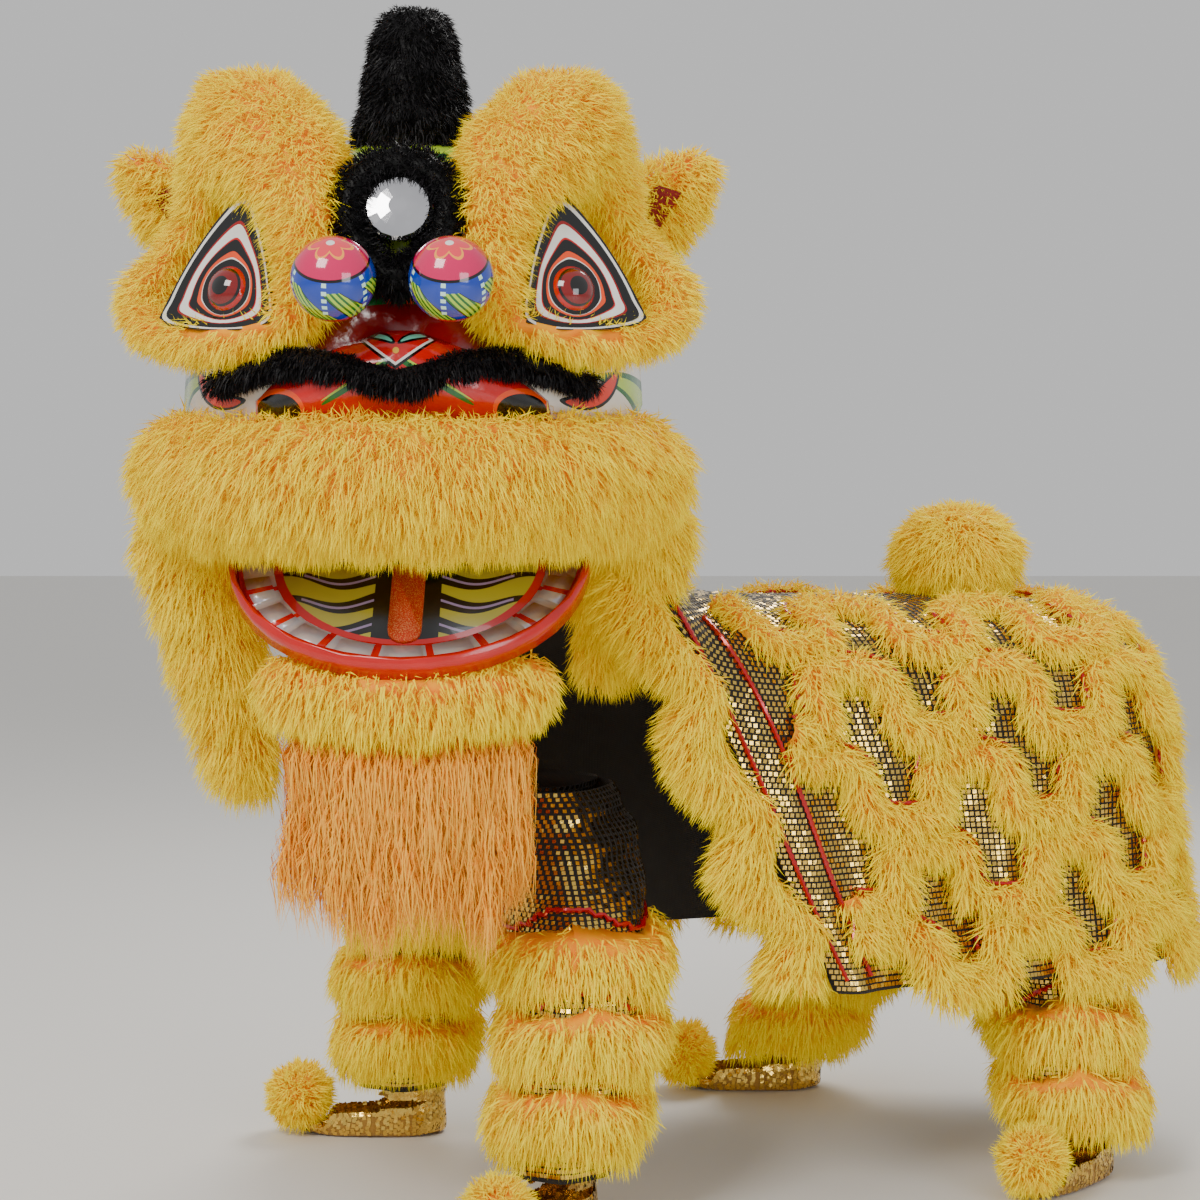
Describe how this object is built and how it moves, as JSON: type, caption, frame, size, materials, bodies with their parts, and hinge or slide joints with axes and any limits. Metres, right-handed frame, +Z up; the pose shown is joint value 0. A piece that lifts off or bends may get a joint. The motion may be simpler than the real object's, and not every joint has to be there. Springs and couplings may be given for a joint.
{
  "type": "lion dance costume",
  "caption": "Southern style lion dance costume: a hollow painted head with thick fur brows and muzzle, a dropping jaw with teeth, a sequin and fur body drape, trousers and shoe covers.",
  "frame": {"origin": "middle of the front wearer's grip inside the hollow head", "axes": "+Z up, the lion looks along -Y, the body trails to +X"},
  "size_m": [1.5535, 1.1752, 1.6586],
  "materials": {
    "painted_shell": "glossy painted papier mache",
    "red_lacquer": "glossy red lacquer",
    "black_fur": "black pile fur",
    "gold_fur": "long golden yellow pile fur",
    "mirror": "polished domed mirror",
    "silver_teeth": "silvery white foil",
    "mouth_paint": "painted lining",
    "tongue_glitter": "red orange glitter cloth",
    "beard_hair": "long straight hair",
    "sequin_cloth": "black cloth with gold sequins",
    "eye_paint": "glossy painted bands",
    "eyeball_gloss": "glossy painted ball",
    "ball_paint": "glossy painted ornament",
    "ear_cloth": "dark red cloth",
    "dark_metal": "black painted steel",
    "shoe_cloth": "gold sequin cloth"
  },
  "bodies": {
    "costume": {"back_cloth": "sequin_cloth", "brow_left": "gold_fur", "brow_right": "gold_fur", "cheek_fur_left": "gold_fur", "cheek_fur_right": "gold_fur", "ear_left": "gold_fur", "ear_lining_left": "ear_cloth", "ear_lining_right": "ear_cloth", "ear_right": "gold_fur", "edge_fur": "gold_fur", "eye_plate_left": "eye_paint", "eye_plate_right": "eye_paint", "eyeball_left": "eyeball_gloss", "eyeball_right": "eyeball_gloss", "front_trousers": "sequin_cloth", "fur_row_1": "gold_fur", "fur_row_2": "gold_fur", "fur_row_3": "gold_fur", "fur_row_4": "gold_fur", "fur_row_5": "gold_fur", "head_shell": "painted_shell", "hinge_bracket_left": "dark_metal", "hinge_bracket_right": "dark_metal", "horn": "black_fur", "mirror_disc": "mirror", "mirror_fur_ring": "black_fur", "moustache": "black_fur", "muzzle_roll": "gold_fur", "nose_ball_left": "ball_paint", "nose_ball_right": "ball_paint", "rear_trousers": "sequin_cloth", "shoe_front_left": "shoe_cloth", "shoe_front_right": "shoe_cloth", "shoe_pompom_front_left": "gold_fur", "shoe_pompom_front_right": "gold_fur", "shoe_pompom_rear_left": "gold_fur", "shoe_pompom_rear_right": "gold_fur", "shoe_rear_left": "shoe_cloth", "shoe_rear_right": "shoe_cloth", "snout": "red_lacquer", "tail_pompom": "gold_fur", "tier_front_left_1": "gold_fur", "tier_front_left_2": "gold_fur", "tier_front_left_3": "gold_fur", "tier_front_right_1": "gold_fur", "tier_front_right_2": "gold_fur", "tier_front_right_3": "gold_fur", "tier_rear_left_1": "gold_fur", "tier_rear_left_2": "gold_fur", "tier_rear_right_1": "gold_fur", "tier_rear_right_2": "gold_fur"},
    "jaw": {"jaw_tray": "red_lacquer", "teeth": "silver_teeth", "mouth_lining": "mouth_paint", "tongue": "tongue_glitter", "chin_fur": "gold_fur", "beard": "beard_hair"}
  },
  "joints": [
    {"name": "jaw_hinge", "type": "hinge", "parent": "costume", "child": "jaw", "pos_m": [0, -0.075, -0.04], "axis": [1, 0, 0], "range_deg": [-20, 0]}
  ]
}
